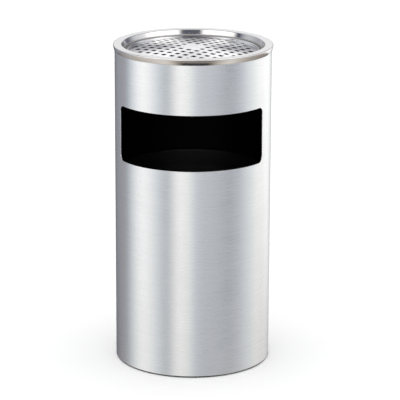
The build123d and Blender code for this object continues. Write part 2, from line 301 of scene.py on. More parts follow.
def grooves(tree, pitch, run):
    """Noise across circular grooves: quick along radius and height by pitch, slow along the turn by run.

    The vector is (x, y) on a circle whose size makes one noise cell run millimetres long at the
    shell's radius, and (radius + height) / pitch across.
    """
    across = add(tree, "Math", radius_from_axis(tree), operation="ADD")
    across = add(tree, "Math", (across, 1 / (MM * pitch)), **TIMES)
    flat = add(tree, "VectorMath", (add(tree, "TexCoord", {}, "Object"), (1, 1, 0)), **TIMES)
    around = add(tree, "VectorMath", (flat,), operation="NORMALIZE")
    around = add(tree, "VectorMath", {0: around, "Scale": BODY_RADIUS / run}, operation="SCALE")
    lift = add(tree, "CombineXYZ", {2: across})
    vector = add(tree, "VectorMath", (around, lift), operation="ADD")
    return add(tree, "TexNoise", {"Vector": vector, "Scale": 1.0, "Detail": 2.0, "Roughness": 0.6})


def grained(name, colour, cell, detail, roughness, bump, others={}):
    """Material of one colour. Noise with cells of so many millimetres carries its roughness between two
    values and, where bump is given, raises it by (strength, metres)."""
    material, tree = new_material(name)
    grain = cells(tree, [cell] * 3, detail)
    inputs = {"Base Color": (*getattr(bpy.context.scene.bin_colours, colour), 1),
              "Roughness": add(tree, "MapRange", (grain, 0.3, 0.7, *roughness)), **others}
    if bump:
        inputs["Normal"] = add(tree, "Bump", {"Strength": bump[0], "Distance": bump[1], "Height": grain})
    return shade(material, inputs)


def brushed_stainless():
    """Stainless steel, brushed round the shell with a belt: fine level scratches that spread each light
    up and down and keep it narrow sideways. Handling has left it a little cloudy. At the back runs the
    dressed weld seam: a narrow, rougher, slightly straw-coloured strip. The inner face is a matt black
    lacquer, made black so that it paints the shade inside the mouth."""
    material, tree = new_material("brushed stainless steel")
    colours = bpy.context.scene.bin_colours
    fine = grooves(tree, 0.6, 45.0)  # real scratches are 0.1 mm apart; drawn coarser so that they show
    broad = grooves(tree, 3.5, 160.0)
    cloud = cells(tree, (70, 70, 45), 2.0)
    tone = add(tree, "Math", (fine, broad), operation="ADD")
    tone = add(tree, "MapRange", (tone, 0.7, 1.3, 0.95, 1.0))
    radius, _ = radius_from_axis(tree)
    # Inner face: matt black lacquer, black so that it paints the shade inside the mouth
    inside = add(tree, "MapRange", (radius, MM * (SHELL_INNER + 0.08), MM * (SHELL_INNER + 0.16), 1.0, 0.0))
    across, along, _ = add(tree, "SeparateXYZ", (add(tree, "TexCoord", {}, "Object"),)).node.outputs
    aside = add(tree, "Math", (across,), operation="ABSOLUTE")
    seam = add(tree, "MapRange", (aside, MM * 1.4, MM * 2.6, 1.0, 0.0))
    behind = add(tree, "Math", (along, 0.0), operation="GREATER_THAN")
    seam = add(tree, "Math", (seam, behind), **TIMES)
    steel = add(tree, "Mix", {0: seam, 6: (*colours.body_steel, 1), 7: (*colours.weld_tint, 1)}, 2,
                **COLOURED)
    steel = add(tree, "Mix", {0: tone, 6: (0, 0, 0, 1), 7: steel}, 2, **COLOURED)
    steel = add(tree, "Mix", {0: inside, 6: steel, 7: (*colours.lacquer, 1)}, 2, **COLOURED)
    grain = add(tree, "MapRange", (fine, 0.3, 0.7, 0.24, 0.3))
    smear = add(tree, "MapRange", (cloud, 0.35, 0.75, 0.0, 0.03))
    grain = add(tree, "Math", (grain, smear), operation="ADD")
    grain = add(tree, "Mix", {0: seam, 2: grain, 3: 0.42})
    bump = add(tree, "Bump", {"Strength": 0.06, "Distance": 0.0001, "Height": fine})
    bead = add(tree, "Bump", {"Strength": 0.4, "Distance": 0.0002, "Height": seam, "Normal": bump})
    return shade(material, {
        "Base Color": steel, "Metallic": add(tree, "Math", (1.0, inside), operation="SUBTRACT"),
        "Roughness": add(tree, "Mix", {0: inside, 2: grain, 3: 0.75}), "Normal": bead,
        "Anisotropic": 0.8, "Specular IOR Level": 0.15, **SPUN})


def polished_stainless():
    """Stainless steel spun over a former and polished on the lathe: close to a mirror, with faint circular
    lines that draw each light out towards the rim. The inside of the bowl under the sieve is dark
    brown-black, and the seat that the sieve's edge stands in is darkened too: painted shade in the crevice."""
    material, tree = new_material("polished spun stainless steel")
    colours = bpy.context.scene.bin_colours
    fine = grooves(tree, 0.5, 120.0)
    cloud = cells(tree, (9, 9, 9), 3.0)
    radius, height = radius_from_axis(tree)
    upward = add(tree, "SeparateXYZ", (add(tree, "NewGeometry", {}, "True Normal"),), "Z")
    bowl = mask(tree, (radius, MM * (WALL_FOOT - 6.0), MM * (WALL_FOOT - 7.5), 0.0, 1.0),
                (height, MM * (SEAT_TOP - 2.5), MM * (SEAT_TOP - 1.0), 1.0, 0.0),
                (upward, 0.02, 0.06, 0.0, 1.0))
    # Painted shade: darkens the seat and the wall's foot, the crevice where the sieve's edge stands
    crevice_shade = mask(tree, (height, MM * (SEAT_TOP + 5.0), MM * (SEAT_TOP + 7.5), 0.7, 0.0),
                  (radius, MM * (WALL_FOOT + 4.5), MM * (WALL_FOOT + 5.0), 1.0, 0.0),
                  (upward, 0.2, 0.3, 0.0, 1.0))
    # The dark bowl under the sieve and the painted shade in the crevice, as one mask
    bowl_dark_and_crevice_shade = add(tree, "Math", (bowl, crevice_shade), operation="MAXIMUM")
    bowl_dark_and_crevice_shade = add(tree, "Math", (bowl_dark_and_crevice_shade, add(tree, "MapRange", (cloud, 0.2, 0.5, 0.85, 1.0))), **TIMES)
    gloss = add(tree, "MapRange", (fine, 0.3, 0.7, 0.1, 0.15))
    return shade(material, {
        "Base Color": add(tree, "Mix", {0: bowl_dark_and_crevice_shade, 6: (*colours.polished_steel, 1), 7: (*colours.bowl_dark_and_crevice_shade, 1)}, 2,
                          **COLOURED),
        "Metallic": add(tree, "MapRange", (bowl_dark_and_crevice_shade, 0.0, 1.0, 1.0, 0.2)),
        "Roughness": add(tree, "Mix", {0: bowl_dark_and_crevice_shade, 2: gloss, 3: 0.6}),
        "Normal": add(tree, "Bump", {"Strength": 0.08, "Distance": 0.00005, "Height": fine}),
        "Anisotropic": 0.6, **SPUN})


def satin_stainless():
    """Stainless steel spun with an abrasive pad: circular lines stronger than on the tray. Its colour is
    painted lighter and darker in broad radial sectors, and darker towards the back: painted reflections.
    It is duller where ends have been put out."""
    material, tree = new_material("satin spun stainless steel")
    colours = bpy.context.scene.bin_colours
    fine = grooves(tree, 0.5, 200.0)
    across, along, _ = add(tree, "SeparateXYZ", (add(tree, "TexCoord", {}, "Object"),)).node.outputs
    turn = add(tree, "Math", (across, along), operation="ARCTAN2")
    sectors = add(tree, "Math", (add(tree, "Math", (turn, 4.0), **TIMES),), operation="COSINE")
    backward = add(tree, "Math", (turn,), operation="COSINE")
    radius, _ = radius_from_axis(tree)
    # Painted reflection: radial sectors and the back of the sieve are made darker in the base colour
    painted_reflection_mask = mask(tree, (sectors, -0.6, 0.8, 0.0, 1.0), (radius, 0.02, 0.06, 0.0, 1.0),
                   (backward, -0.7, -0.1, 0.35, 1.0))
    smut = cells(tree, (16, 16, 16), 4.0)
    tone = add(tree, "Mix", {0: painted_reflection_mask, 6: (*colours.painted_reflection_bright, 1), 7: (*colours.painted_reflection_dark, 1)}, 2,
               **COLOURED)
    smut = add(tree, "MapRange", (smut, 0.35, 0.6, 0.9, 1.0))
    return shade(material, {
        "Base Color": add(tree, "Mix", {0: smut, 6: (0, 0, 0, 1), 7: tone}, 2, **COLOURED),
        "Metallic": 1.0, "Roughness": add(tree, "MapRange", (fine, 0.3, 0.7, 0.13, 0.2)),
        "Normal": add(tree, "Bump", {"Strength": 0.12, "Distance": 0.00005, "Height": fine}),
        "Anisotropic": 0.8, **SPUN})


def black_powder_coat():
    """Black powder coat on steel sheet: satin, with the soft orange peel that baked powder has."""
    return grained("black powder coat", "powder_coat", 1.6, 1.0, (0.42, 0.55), (0.25, 0.0003))


def zinc_plate():
    """Bright zinc plate on steel: greyer and softer than stainless, with a slight cloudiness."""
    return grained("bright zinc plate", "zinc", 4, 3.0, (0.28, 0.42), None, {"Metallic": 1.0})


def black_lacquer():
    """Matt black lacquer sprayed on the shell's hidden sheet pieces: flat, with a dry, dusty grain."""
    return grained("matt black lacquer", "lacquer", 0.8, 3.0, (0.66, 0.8), (0.2, 0.0001),
                   {"Specular IOR Level": 0.15})


def black_rubber():
    """Moulded black rubber: matt charcoal with a fine grain from the mould."""
    return grained("moulded black rubber", "rubber", 0.4, 2.0, (0.7, 0.85), (0.3, 0.0001))


def black_wire_coat():
    """Steel wire dipped in black plastic: smooth and slightly glossy, with shallow ripples."""
    return grained("black dipped wire", "wire_coat", 5, 1.0, (0.28, 0.4), (0.2, 0.0002))


def finish(name, make):
    """The material of that name, made once."""
    return bpy.data.materials.get(name) or make()


# ---------------------------------------------------------------------------
# Settings
# ---------------------------------------------------------------------------


class BinSizes(bpy.types.PropertyGroup):
    """Sizes of the sheet pieces, in metres."""

    mouth_corner: bpy.props.FloatProperty(
        name="Mouth corner", description="Radius of the mouth's corners", default=0.012, unit="LENGTH")
    hole_side: bpy.props.FloatProperty(
        name="Sieve hole", description="Side of the sieve's square holes", default=0.009, unit="LENGTH")
    hole_pitch: bpy.props.FloatProperty(
        name="Hole pitch", description="Distance between the middles of two holes", default=0.018,
        unit="LENGTH")
    hole_angle: bpy.props.FloatProperty(
        name="Hole lattice", description="Turn of the holes' lattice from +X",
        default=math.radians(57.5), subtype="ANGLE", unit="ROTATION")
    columns: bpy.props.IntProperty(
        name="Columns", description="Faces round the bin's large sheets", default=360)


def colour(label, description, code):
    """Colour setting with its default as a hex code."""
    return bpy.props.FloatVectorProperty(
        name=label, description=description, default=linear(code), subtype="COLOR")


class BinColours(bpy.types.PropertyGroup):
    """Colours of the finishes."""

    body_steel: colour("Brushed steel", "Colour of the brushed shell", "#E9E9E9")
    polished_steel: colour("Polished steel", "Colour of the tray", "#EEECEA")
    # Painted reflection: the sieve's colour is lighter and darker in radial sectors, standing in for
    # reflected light and dark
    painted_reflection_bright: colour("Bright steel", "Colour of the sieve's brighter sectors", "#FFFFFF")
    painted_reflection_dark: colour("Dull steel", "Colour of the sieve's duller sectors", "#88868C")
    weld_tint: colour("Weld tint", "Colour of the dressed seam at the back", "#D8D0C2")
    # Dark brown-black of the bowl under the sieve; it also paints the shade in the crevice round the sieve's
    # edge
    bowl_dark_and_crevice_shade: colour("Bowl stain", "Colour of the stained bowl under the sieve", "#2C2420")
    # On the shell's inner face this black also paints the shade inside the mouth
    lacquer: colour("Lacquer", "Colour of the shell's inner face, the hoop and the base", "#040404")
    powder_coat: colour("Powder coat", "Colour of the bucket", "#0E0E0F")
    wire_coat: colour("Wire coat", "Colour of the bail", "#141415")
    zinc: colour("Zinc plate", "Colour of screws, washers, nuts and rivets", "#C9CBCD")
    rubber: colour("Rubber", "Colour of the feet", "#1A1A1A")


# ---------------------------------------------------------------------------
# Pieces
# ---------------------------------------------------------------------------


class BIN_OT_shell(bpy.types.Operator):
    """Rolled shell with its mouth: one sheet, hemmed at the bottom, with eased edges"""

    bl_idname = "bin.shell"
    bl_label = "Shell"

    EDGE = 0.3  # easing of the sheet's cut edges
    HEM, HEM_BEND = 5.0, 1.0
    PATCH_COLUMNS = 76  # half the columns of the patch round the mouth
    PATCH_MARGIN = 30.0
    PATCH_ROWS = 62
    COLLAR = 3.0  # width round the mouth that keeps the mouth's outline

    def wall(self, angles, levels):
        """Whole wall as a turned profile, less the faces of the patch round the mouth."""
        bottom, top = level("outer_shell", 0) + SHELL_SHEET / 2, level("outer_shell", 1)
        radius = BODY_RADIUS - SHELL_SHEET / 2
        middle = [(SHELL_INNER - self.HEM, bottom), *[(radius, z) for z in (bottom, *levels, top)]]
        profile = sheet_profile(middle, [self.HEM_BEND] + [0.0] * len(levels), SHELL_SHEET, self.EDGE)
        places = profile[0]
        points, normals, faces = lathe(profile, angles)
        columns = len(angles)
        row, column = faces[:, 0] // columns, faces[:, 0] % columns
        heights = np.sort(places[faces[:, :2] // columns, 1], 1)
        in_rows = (heights[:, 0] > levels[0] - 1e-6) & (heights[:, 1] < levels[-1] + 1e-6)
        in_rows &= np.abs(places[row, 0] - radius) < SHELL_SHEET
        middle_column = columns // 2
        in_columns = column >= middle_column - self.PATCH_COLUMNS
        in_columns &= column < middle_column + self.PATCH_COLUMNS
        return points, normals, faces[~(in_rows & in_columns)]

    def outline(self, shares):
        """Mouth's outline unrolled: position and outward normal at even steps of each side.

        The sides meet in the middle of the corners. Each side's points are spread evenly along its
        half corner, its straight and its other half corner.
        """
        corner = bpy.context.scene.bin_sizes.mouth_corner / MM
        wide, low, high = MOUTH_HALF_ANGLE * BODY_RADIUS, MOUTH_BOTTOM, MOUTH_TOP
        ends = [(-wide, low), (wide, low), (wide, high), (-wide, high)]
        places, normals = [], []
        for index, share in enumerate(shares):
            start, end = np.array(ends[index]), np.array(ends[(index + 1) % 4])
            along = (end - start) / np.linalg.norm(end - start)
            outward = -left_of(along)
            straight = np.linalg.norm(end - start) - 2 * corner
            arc = corner * math.pi / 4
            run = share * (straight + 2 * arc) - arc
            before, after = np.clip(run, -arc, 0.0) / corner, np.clip(run - straight, 0.0, arc) / corner
            bend = (before + after)[:, None]
            level_run = np.clip(run, 0.0, straight)[:, None]
            normal = outward * np.cos(bend) + along * np.sin(bend)
            inner = start + along * corner - outward * corner
            places.append(inner + along * level_run + normal * corner)
            normals.append(normal)
        return np.concatenate(places), np.concatenate(normals)

    def patch(self, angles, levels):
        """Sheet round the mouth: rows run from the patch's frame to the mouth's edge on the outer face,
        round the eased edge, and back to the frame on the inner face."""
        middle = len(angles) // 2
        span = angles[middle - self.PATCH_COLUMNS:middle + self.PATCH_COLUMNS + 1]
        bottom, top = levels[0], levels[-1]
        frame_line = np.concatenate([
            np.stack([span[:-1], np.full(len(span) - 1, bottom)], -1),
            np.stack([np.full(len(levels) - 1, span[-1]), levels[:-1]], -1),
            np.stack([span[:0:-1], np.full(len(span) - 1, top)], -1),
            np.stack([np.full(len(levels) - 1, span[0]), levels[:0:-1]], -1)])
        frame_line[:, 0] *= BODY_RADIUS
        counts = [len(span) - 1, len(levels) - 1] * 2
        outline, outward = self.outline([np.arange(count) / count for count in counts])
        ease = np.linspace(0.0, math.pi / 2, 4)
        blend = np.array([1.0, 0.72, 0.47, 0.27, 0.12, 0.0])
        gaps = np.concatenate([np.full(6, self.COLLAR), [1.2], self.EDGE * (1 - np.sin(ease))])
        depths = np.concatenate([np.zeros(7), self.EDGE * (1 - np.cos(ease))])
        leans = np.concatenate([np.zeros(7), ease])
        blends = np.concatenate([blend, np.zeros(5)])
        gaps, blends = np.concatenate([gaps, gaps[::-1]]), np.concatenate([blends, blends[::-1]])
        depths = np.concatenate([depths, SHELL_SHEET - depths[::-1]])
        leans = np.concatenate([leans, math.pi - leans[::-1]])
        flat = outline[None] + outward[None] * gaps[:, None, None]
        flat = flat + (frame_line[None] - flat) * blends[:, None, None]
        azimuth = flat[..., 0] / BODY_RADIUS
        radius = (BODY_RADIUS - depths)[:, None]
        sine, cosine = np.sin(azimuth), np.cos(azimuth)
        points = np.stack([radius * sine, -radius * cosine, flat[..., 1]], -1)
        outer, inner = np.cos(leans)[:, None], -np.sin(leans)[:, None]
        sideways, up = inner * outward[None, :, 0], inner * outward[None, :, 1]
        normals = np.stack([outer * sine + sideways * cosine, -outer * cosine + sideways * sine, up], -1)
        faces = grid_faces(len(gaps), len(outline), False, True)
        return points.reshape(-1, 3), normals.reshape(-1, 3), faces[:, ::-1]

    def execute(self, context):
        angles = ring_angles(context.scene.bin_sizes.columns)
        margin = self.PATCH_MARGIN
        levels = np.linspace(MOUTH_BOTTOM - margin, MOUTH_TOP + margin, self.PATCH_ROWS + 1)
        surface = joined([self.wall(angles, levels), self.patch(angles, levels)])
        steel = finish("brushed stainless steel", brushed_stainless)
        make_piece("rolled_shell", surface, steel, "shell", "brushed_stainless", "outer_shell")
        return {"FINISHED"}


class BIN_OT_base(bpy.types.Operator):
    """Stiffening hoop, base plate and their finish"""

    bl_idname = "bin.base"
    bl_label = "Hoop and base"

    SHEET = 1.5
    NEST = 0.05  # gap to the shell that it is welded to
    EDGE = 0.4
    COLUMNS = 240

    def execute(self, context):
        lacquer = finish("matt black lacquer", black_lacquer)
        radius = SHELL_INNER - self.NEST - self.SHEET / 2
        middle = [(radius, level("top_hoop", end)) for end in (0, 1)]
        hoop = lathe(sheet_profile(middle, [], self.SHEET, self.EDGE), ring_angles(self.COLUMNS))
        make_piece("stiffening_hoop", hoop, lacquer, "shell", "inner_steel", "top_hoop")
        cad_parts["base_plate"].material_slots[0].material = lacquer
        return {"FINISHED"}


class BIN_OT_feet(bpy.types.Operator):
    """Finish of the rubber feet and their fasteners"""

    bl_idname = "bin.feet"
    bl_label = "Feet"

    def execute(self, context):
        rubber = finish("moulded black rubber", black_rubber)
        zinc = finish("bright zinc plate", zinc_plate)
        for number in range(1, 5):
            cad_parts[f"foot_{number}"].material_slots[0].material = rubber
        for name in ("foot_washers", "foot_screws", "foot_nuts"):
            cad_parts[name].material_slots[0].material = zinc
        return {"FINISHED"}


TRAY_TOP = level("ash_tray", 1)
SEAT_TOP = level("sieve_plate", 0)
RIM_RADIUS = 150.0
FLANGE_WIDTH = 15.6
WALL_FOOT = 126.0  # radius where the dish's wall meets the sieve's seat


class BIN_OT_tray(bpy.types.Operator):
    """Spun ash tray: locating lip, skirt, flange, sloped wall, seat and bowl in one sheet"""

    bl_idname = "bin.tray"
    bl_label = "Ash tray"

    SHEET = 0.8
    EDGE = 0.25
    RIM_ROUND = 1.2  # bend between the skirt and the flange
    SKIRT_BULGE = 0.27  # at the corner of the skirt's shallow bend; the sheet itself bulges half of it
    SKIRT_BEND = 36.0
    SKIRT_OVERHANG = 0.7  # the skirt's foot outside the shell
    LIP_GAP, LIP_DEPTH = 0.75, 7.0  # middle of the lip to the shell's inner face, and its reach down
    SEAT_WIDTH, BOWL_RUN = 6.5, 6.0
    INSET = 0.1  # keeps the bulged skirt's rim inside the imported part's box

    def execute(self, context):
        half = self.SHEET / 2
        shell_top = level("outer_shell", 1)
        bottom = level("ash_tray", 0) + half
        lip, skirt_foot = SHELL_INNER - self.LIP_GAP, BODY_RADIUS + self.SKIRT_OVERHANG - half
        rise = TRAY_TOP - shell_top
        lean = math.atan2((RIM_RADIUS - skirt_foot - half) / 2 - self.SKIRT_BULGE, rise / 2)
        rim = RIM_RADIUS - self.INSET - half + self.RIM_ROUND * (math.tan(lean) + 1 / math.cos(lean) - 1)
        belly = (skirt_foot + rim) / 2 + self.SKIRT_BULGE, shell_top + rise / 2
        seat_in = WALL_FOOT - self.SEAT_WIDTH
        middle = [(lip, shell_top - self.LIP_DEPTH), (lip, shell_top + half), (skirt_foot, shell_top + half),
                  belly, (rim, TRAY_TOP - half), (RIM_RADIUS - FLANGE_WIDTH, TRAY_TOP - half),
                  (WALL_FOOT, SEAT_TOP - half), (seat_in, SEAT_TOP - half),
                  (seat_in - self.BOWL_RUN, bottom), (0.0, bottom)]
        bends = [0.6, 0.8, self.SKIRT_BEND, self.RIM_ROUND, 2.5, 1.5, 2.0, 8.0]
        profile = sheet_profile(middle, bends, self.SHEET, self.EDGE)
        surface = lathe(profile, ring_angles(context.scene.bin_sizes.columns))
        steel = finish("polished spun stainless steel", polished_stainless)
        make_piece("spun_ash_tray", surface, steel, "tray", "polished_stainless", "ash_tray")
        return {"FINISHED"}


class BIN_OT_sieve(bpy.types.Operator):
    """Domed sieve plate with square holes, a plain middle and a beaded edge"""

    bl_idname = "bin.sieve"
    bl_label = "Sieve"

    SHEET = 1.0
    FLAT = 12.0  # radius of the flat middle
    BEAD_OUT, BEAD_TOP = WALL_FOOT - 2.1, SEAT_TOP + 4.5
    BEAD_IN = BEAD_OUT - 3.2
    DOME_EDGE = (BEAD_IN - 1.4, BEAD_TOP - 2.2)
    CROWN = DOME_EDGE[1] + 6.4  # middle of the sheet at the crown
    MARGIN = 1.0  # collar round a hole that belongs to its ring
    ROLL = 0.35  # rounding of a hole's upper edge
    CORNER = 0.6  # rounding of a hole's corners
    BURR = 0.15  # rounding of a hole's lower edge
    PLAIN = 20.0  # no hole's middle is nearer to the axis
    LAST = DOME_EDGE[0] - 7.4  # no hole's middle is farther out
    FIELD = DOME_EDGE[0] - 2.0  # the square grid's faces all lie inside this radius

    def dome(self, radius, side):
        """Height of the plate's upper (side 1) or lower (side -1) face, and the slope of its middle.

        The middle is flat within FLAT; outside it is a circular arc that starts level and reaches
        the dome's edge. The faces lie half a sheet off, measured square to the arc.
        """
        run, drop = self.DOME_EDGE[0] - self.FLAT, self.CROWN - self.DOME_EDGE[1]
        arc = (run * run + drop * drop) / (2 * drop)
        out = np.maximum(radius - self.FLAT, 0.0)
        slope = np.arcsin(out / arc)
        middle = self.CROWN - arc * (1 - np.cos(slope))
        return middle + side * self.SHEET / 2 / np.cos(slope), slope

    def face(self, flat, side, lean=0.0, inward=None, drop=0.0):
        """Points of the plate's face over flat places, with normals leaned into a hole by lean."""
        radius = np.linalg.norm(flat, axis=-1)
        height, slope = self.dome(radius, side)
        out = flat / np.maximum(radius, 1e-9)[..., None]
        normal = side * np.concatenate([out * np.sin(slope)[..., None], np.cos(slope)[..., None]], -1)
        if inward is not None:
            aside = np.concatenate([inward, np.zeros_like(inward[..., :1])], -1)
            normal = normal * math.cos(lean) + aside * math.sin(lean)
        return np.concatenate([flat, (height - side * drop)[..., None]], -1), normal

    def execute(self, context):
        sizes = context.scene.bin_sizes
        pitch, half = sizes.hole_pitch / MM, sizes.hole_side / MM / 2
        collar = half + self.MARGIN
        shares = np.array([-1.0, -0.86, -0.43, 0.0, 0.43, 0.86, 1.0])
        count = int(self.FIELD / pitch) + 1
        middles = (np.arange(-count, count) + 0.5) * pitch
        gap = np.linspace(0, 1, 4)[1:-1] * (pitch - 2 * collar) + collar
        lines = (middles[:, None] + np.concatenate([shares * collar, gap])[None]).ravel()
        stride = len(shares) + len(gap)
        size = len(lines)
        grid = np.stack(np.meshgrid(lines, lines, indexing="ij"), -1)
        inside = np.linalg.norm(grid, axis=-1) < self.FIELD
        cells = inside[:-1, :-1] & inside[1:, :-1] & inside[1:, 1:] & inside[:-1, 1:]
        # holes and the grid faces that they take away
        across, along = np.meshgrid(middles, middles, indexing="ij")
        distance = np.hypot(across, along)
        column, row = np.nonzero((distance > self.PLAIN) & (distance < self.LAST))
        steps = len(shares) - 1
        own = np.arange(steps)
        cells[(column * stride)[:, None, None] + own[None, :, None],
              (row * stride)[:, None, None] + own[None, None, :]] = False
        filled = cells.copy()
        filled[(column * stride)[:, None, None] + own[None, :, None],
               (row * stride)[:, None, None] + own[None, None, :]] = True
        # the field's boundary: grid points that touch both kept and dropped faces, by angle
        padded = np.pad(filled, 1)
        touching = (padded[:-1, :-1].astype(int) + padded[1:, :-1] + padded[1:, 1:] + padded[:-1, 1:])
        border = grid[(touching > 0) & (touching < 4)]
        order = np.argsort(np.arctan2(border[:, 1], border[:, 0]))
        border = border[order]
        number = np.arange(size * size).reshape(size, size)
        i, j = np.nonzero(cells)
        square = np.stack([number[i, j], number[i + 1, j], number[i + 1, j + 1], number[i, j + 1]], -1)
        turn = np.array([[math.cos(sizes.hole_angle), math.sin(sizes.hole_angle)],
                         [-math.sin(sizes.hole_angle), math.cos(sizes.hole_angle)]])
        # ring round one hole, from its collar to its edge
        walk = np.concatenate([np.stack([shares[:-1], -np.ones(steps)], -1),
                               np.stack([np.ones(steps), shares[:-1]], -1),
                               np.stack([shares[:0:-1], np.ones(steps)], -1),
                               np.stack([-np.ones(steps), shares[:0:-1]], -1)])
        corner = self.CORNER
        mouth = walk * half
        at_corner = np.all(np.abs(walk) > 0.99, axis=1)
        mouth[at_corner] *= 1 - corner * (1 - math.sqrt(0.5)) / half
        near = np.isclose(np.abs(walk), 0.86).any(axis=1)
        mouth[near] = np.sign(walk[near]) * np.where(np.isclose(np.abs(walk[near]), 0.86),
                                                     half - corner, half)
        aim = -np.where(np.isclose(np.abs(mouth), half), np.sign(mouth), 0.0)
        aim[at_corner] = -np.sign(walk[at_corner]) * math.sqrt(0.5)
        centres = np.stack([middles[column], middles[row]], -1)
        ease = np.linspace(0.0, math.pi / 2, 4)
        rings = []

        def ring(places, side, lean, drop):
            flat = (centres[:, None] + places[None]) @ turn
            inward = np.broadcast_to(aim @ turn, flat.shape)
            rings.append(self.face(flat, side, lean, inward, drop))

        ring(walk * collar, 1, 0.0, 0.0)
        for angle in ease:
            ring(mouth - aim * self.ROLL * (1 - math.sin(angle)), 1, angle, self.ROLL * (1 - math.cos(angle)))
        for angle in ease[::-1]:
            ring(mouth - aim * self.BURR * (1 - math.sin(angle)), -1, angle,
                 self.BURR * (1 - math.cos(angle)))
        ring(walk * collar, -1, 0.0, 0.0)
        ring_points = np.stack([points for points, _ in rings], 1)
        ring_normals = np.stack([normals for _, normals in rings], 1)
        holes, deep, wide = ring_points.shape[:3]
        template = grid_faces(deep, wide, False, True)[:, ::-1]
        ring_faces = (template[None] + (np.arange(holes) * deep * wide)[:, None, None]).reshape(-1, 4)
        surfaces = [(ring_points.reshape(-1, 3), ring_normals.reshape(-1, 3), ring_faces)]
        for side in (1, -1):
            points, normals = self.face(grid.reshape(-1, 2) @ turn, side)
            surfaces.append((points, normals, square if side > 0 else square[:, ::-1]))
        surfaces.append(self.edge(border @ turn))
        steel = finish("satin spun stainless steel", satin_stainless)
        make_piece("domed_sieve", joined(surfaces), steel, "sieve", "polished_stainless", "sieve_plate")
        return {"FINISHED"}

    def edge(self, border):
        """Plate outside the square grid, its bead and its turned-down edge, over and under.

        Columns follow the field's boundary. Rows blend from the boundary to the dome's edge along each
        column's direction, follow the bead's profile, and come back under the plate.
        """
        inward = self.DOME_EDGE[0] - 0.8
        bead = [(inward, self.dome(inward, 0)[0]), self.DOME_EDGE, (self.BEAD_IN, self.BEAD_TOP),
                (self.BEAD_OUT, self.BEAD_TOP), (self.BEAD_OUT, SEAT_TOP)]
        places, normals, _ = sheet_profile(bead[::-1], [1.4, 1.4, 0.9], self.SHEET, 0.25)
        azimuth = np.arctan2(border[:, 0], -border[:, 1])
        # the outline is closed; open it at its inner end, between the plate's two faces
        inner = places[:, 0] < self.DOME_EDGE[0] - 0.3
        upper, lower = inner & (normals[:, 1] > 0.5), inner & (normals[:, 1] < -0.5)
        start = int(np.nonzero(upper | lower)[0][np.argmax(places[upper | lower][:, 1])])
        rest = np.roll(np.arange(len(places)), -start)
        rest = rest[~inner[rest]]
        places, normals = places[rest], normals[rest]
        if places[0, 1] < places[-1, 1]:
            places, normals = places[::-1], normals[::-1]
        points, outward = turned(places, normals, azimuth)
        columns = len(border)
        rim = places[0, 0], places[-1, 0]
        direction = border / np.linalg.norm(border, axis=1)[:, None]
        shares = np.array([0.0, 0.4, 0.75])
        strips = []
        for side, radius in ((1, rim[0]), (-1, rim[1])):
            flat = border[None] + (direction * radius - border)[None] * shares[:, None, None]
            strips.append(self.face(flat, side))
        over, under = strips
        all_points, all_normals = [
            np.concatenate([over[at].reshape(-1, 3), between, under[at][::-1].reshape(-1, 3)])
            for at, between in enumerate((points, outward))]
        return all_points, all_normals, grid_faces(len(all_points) // columns, columns, False, True)


BUCKET_RADIUS = SHELL_INNER - 20.0
RIM_WIRE_CIRCLE = BUCKET_RADIUS + 1.85
RIM_WIRE_LEVEL = level("bucket_wall", 1) - 2.65


class BIN_OT_bucket(bpy.types.Operator):
    """Bucket: tapered wall with its curled rim, press-formed floor, foot band and rim wire"""

    bl_idname = "bin.bucket"
    bl_label = "Bucket"

    SHEET, EDGE = 0.8, 0.25
    CURL, CURL_TURN = 2.25, math.radians(250.0)
    COLLAR = 28.0  # straight part of the wall under the rim wire
    COLLAR_BEND = 40.0
    TAPER = 14.0
    WIRE = 1.8

    def execute(self, context):
        angles = ring_angles(context.scene.bin_sizes.columns)
        coat = finish("black powder coat", black_powder_coat)
        zinc = finish("bright zinc plate", zinc_plate)
        sheet, curl, edge = self.SHEET, self.CURL, self.EDGE
        step = self.CURL_TURN / 3
        middles = math.pi - step * (np.arange(3) + 0.5)
        away = curl / math.cos(step / 2)
        bends = [(RIM_WIRE_CIRCLE + away * math.cos(a), RIM_WIRE_LEVEL + away * math.sin(a)) for a in middles]
        last = math.pi - 3 * step
        end = (RIM_WIRE_CIRCLE + curl * math.cos(last), RIM_WIRE_LEVEL + curl * math.sin(last))
        bottom = level("bucket_wall", 0)
        foot = BUCKET_RADIUS - self.TAPER
        wall = [(foot - sheet / 2, bottom), (BUCKET_RADIUS - sheet / 2, RIM_WIRE_LEVEL - self.COLLAR),
                *bends, end]
        surface = lathe(sheet_profile(wall, [self.COLLAR_BEND, curl, curl, curl], sheet, edge), angles)
        make_piece("bucket_side", surface, coat, "bucket", "black_enamel", "bucket_wall")
        low, high = level("bucket_floor", 0), level("bucket_floor", 1) - sheet / 2
        flange = foot - 1.25
        floor = [(flange, low), (flange, high), (0.0, high)]
        surface = lathe(sheet_profile(floor, [3.0], sheet, edge), angles)
        make_piece("bucket_bottom", surface, coat, "bucket", "black_enamel", "bucket_floor")
        low, high = level("bucket_foot_ring", 0), level("bucket_foot_ring", 1)
        band = [(foot - 2.45, low + 0.5), (foot + 0.55, low + 0.5), (reach("bucket_foot_ring") - 0.5, high)]
        surface = lathe(sheet_profile(band, [0.6], 1.0, 0.3), angles)
        make_piece("bucket_band", surface, coat, "bucket", "black_enamel", "bucket_foot_ring")
        around = np.linspace(0.0, 2 * math.pi, 16, endpoint=False)[::-1]
        spokes = np.stack([np.cos(around), np.sin(around)], -1)
        wire = np.array([RIM_WIRE_CIRCLE, RIM_WIRE_LEVEL]) + self.WIRE * spokes
        make_piece("rim_wire_ring", lathe((wire, spokes, True), angles), zinc, "bucket", "zinc_steel",
                   "bucket_rim_wire")
        for name in ("bucket_lug_left", "bucket_lug_right"):
            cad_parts[name].material_slots[0].material = coat
        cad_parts["lug_rivets"].material_slots[0].material = zinc
        return {"FINISHED"}


